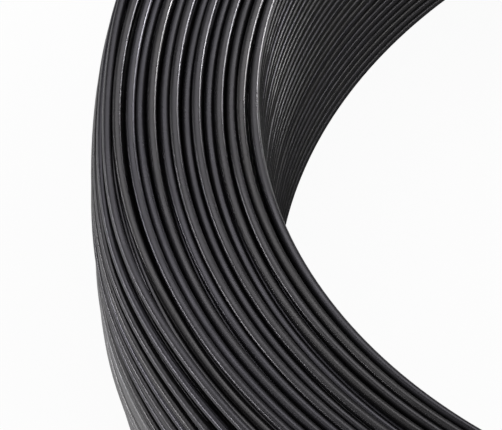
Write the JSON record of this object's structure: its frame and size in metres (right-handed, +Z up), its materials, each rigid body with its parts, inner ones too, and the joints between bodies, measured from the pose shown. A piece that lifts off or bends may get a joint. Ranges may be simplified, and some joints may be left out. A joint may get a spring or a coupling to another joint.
{
  "type": "coil of binding wire",
  "caption": "Flat round coil of soft black steel binding wire, wound in even layers round an open bore, with a bulging outside.",
  "frame": {"origin": "centre of the coil's lower end, on the ground", "axes": "+Z up along the coil's axis; the coil is round about Z, so X and Y are any two square directions across it"},
  "size_m": [0.2576, 0.2576, 0.0461],
  "materials": {
    "black_annealed_wire": "dark oxide skin left by annealing, lightly oiled, low satin shine along each turn"
  },
  "bodies": {
    "root": {"wire_coil": "black_annealed_wire"}
  },
  "joints": []
}
